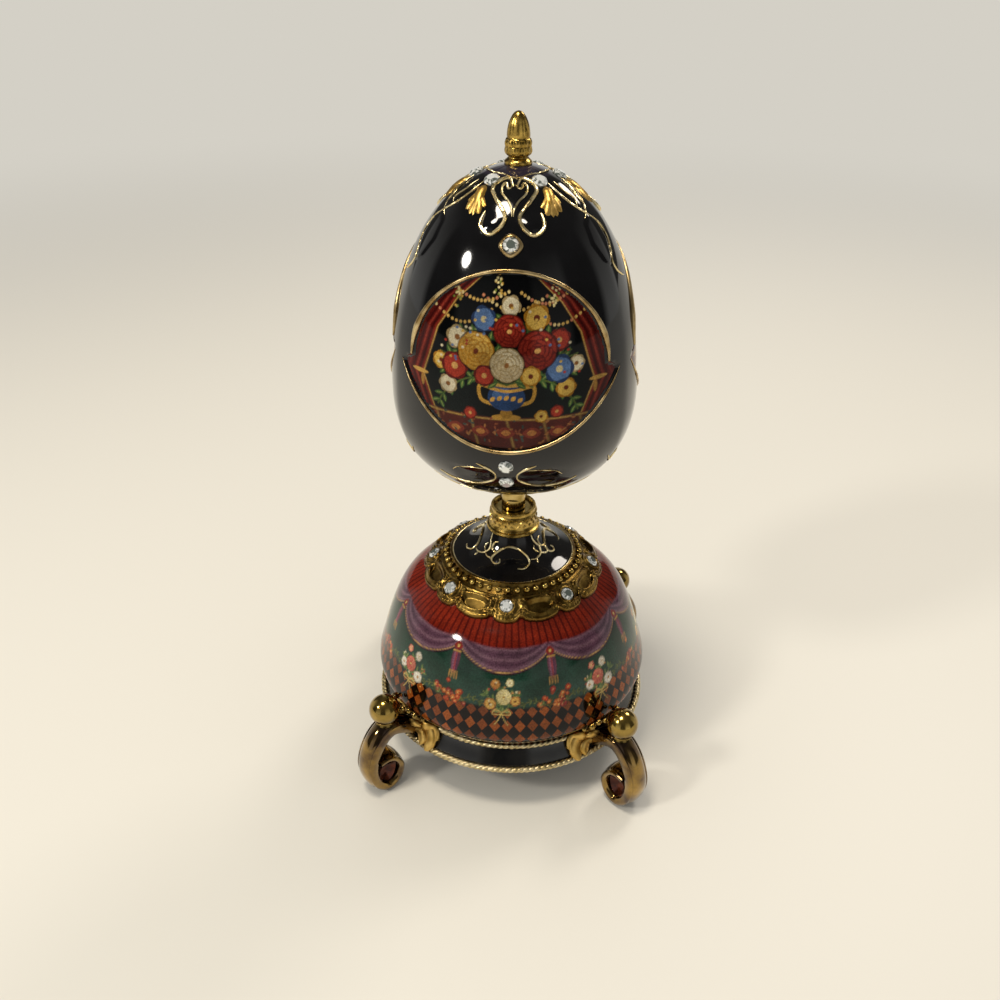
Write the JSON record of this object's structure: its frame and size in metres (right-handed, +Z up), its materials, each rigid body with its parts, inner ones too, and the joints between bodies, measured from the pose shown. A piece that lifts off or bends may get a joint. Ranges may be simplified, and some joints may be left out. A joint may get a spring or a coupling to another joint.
{
  "type": "decorative egg on stand",
  "caption": "Black porcelain egg with gilt-framed panels that turns on a slim brass spindle above a domed musical base on gilt scroll feet.",
  "frame": {"origin": "middle of the plane that the four feet rest on", "axes": "+Z up along the egg's axis, -Y towards the front panel of the egg, +X to the viewer's right"},
  "size_m": [0.0902, 0.0902, 0.1906],
  "materials": {
    "black_porcelain": "gloss black glaze with gilt line work",
    "decorated_porcelain": "gloss glaze over a printed pattern",
    "black_enamel": "gloss black enamel",
    "antique_gilt": "antiqued gilt, darker in the hollows",
    "rope_gilt": "pale gilt",
    "bright_gilt": "bright gilt",
    "polished_brass": "polished",
    "movement_brass": "turned and brushed",
    "crystal": "cut and foil backed",
    "comb_steel": "ground",
    "screw_steel": "bright",
    "movement_casting": "as cast",
    "cover_black": "matt"
  },
  "bodies": {
    "base": {"upper_rope": "rope_gilt", "lower_rope": "rope_gilt", "plinth_ring": "black_enamel", "base_dome": "decorated_porcelain", "gilt_collar": "antique_gilt", "collar_crystals": "crystal", "neck_bell": "black_porcelain", "neck_ferrule": "polished_brass", "spindle_bush": "movement_brass", "foot_back_right": "antique_gilt", "foot_back_left": "antique_gilt", "foot_front_left": "antique_gilt", "foot_front_right": "antique_gilt", "foot_balls": "antique_gilt", "foot_leaves": "antique_gilt", "foot_pearls": "antique_gilt", "bottom_cover": "cover_black", "cover_screws": "screw_steel", "movement_bedplate": "movement_casting", "movement_screws": "screw_steel", "movement_bridge": "movement_brass", "bridge_posts": "screw_steel", "bridge_screws": "screw_steel", "comb": "comb_steel", "comb_bar": "movement_brass", "comb_screws": "screw_steel", "cylinder_bracket_left": "movement_brass", "cylinder_bracket_right": "movement_brass", "click": "comb_steel", "governor_frame": "movement_casting"},
    "egg": {"egg_shell": "black_porcelain", "cap_crystals": "crystal", "brow_crystals": "crystal", "brow_bezels": "bright_gilt", "lower_crystals": "crystal", "upper_picture_rims": "bright_gilt", "lower_picture_rims": "bright_gilt", "finial": "bright_gilt", "spindle": "polished_brass", "egg_washer": "screw_steel", "egg_nut": "screw_steel", "tie_rod": "screw_steel", "spindle_gear": "movement_brass", "crown_wheel": "movement_brass"},
    "barrel": {"spring_barrel": "movement_brass", "great_wheel": "movement_brass", "mainspring": "comb_steel"},
    "cylinder": {"cylinder_arbor": "screw_steel", "pinned_cylinder": "movement_brass", "cylinder_pinion": "movement_brass", "train_wheel": "movement_brass"},
    "governor": {"governor_shaft": "screw_steel", "governor_pinion": "movement_brass", "governor_fan": "screw_steel"},
    "key": {"winding_arbor": "screw_steel", "ratchet_wheel": "comb_steel", "winding_key": "movement_brass"}
  },
  "joints": [
    {"name": "egg_spin", "type": "hinge", "parent": "base", "child": "egg", "pos_m": [0, 0, 0.081], "axis": [0, 0, 1], "continuous": true},
    {"name": "barrel_spin", "type": "hinge", "parent": "base", "child": "barrel", "pos_m": [0, 0.018, 0.027], "axis": [0, 0, 1], "continuous": true},
    {"name": "cylinder_spin", "type": "hinge", "parent": "base", "child": "cylinder", "pos_m": [0, 0, 0.028], "axis": [1, 0, 0], "continuous": true},
    {"name": "governor_spin", "type": "hinge", "parent": "base", "child": "governor", "pos_m": [-0.02, 0.008, 0.034], "axis": [1, 0, 0], "continuous": true},
    {"name": "key_wind", "type": "hinge", "parent": "base", "child": "key", "pos_m": [0, 0.018, 0.02], "axis": [0, 0, 1], "continuous": true}
  ],
  "couplings": [
    {"joint": "barrel_spin", "follows": "egg_spin", "ratio": -0.5},
    {"joint": "cylinder_spin", "follows": "egg_spin", "ratio": -1.5},
    {"joint": "governor_spin", "follows": "egg_spin", "ratio": 6}
  ]
}
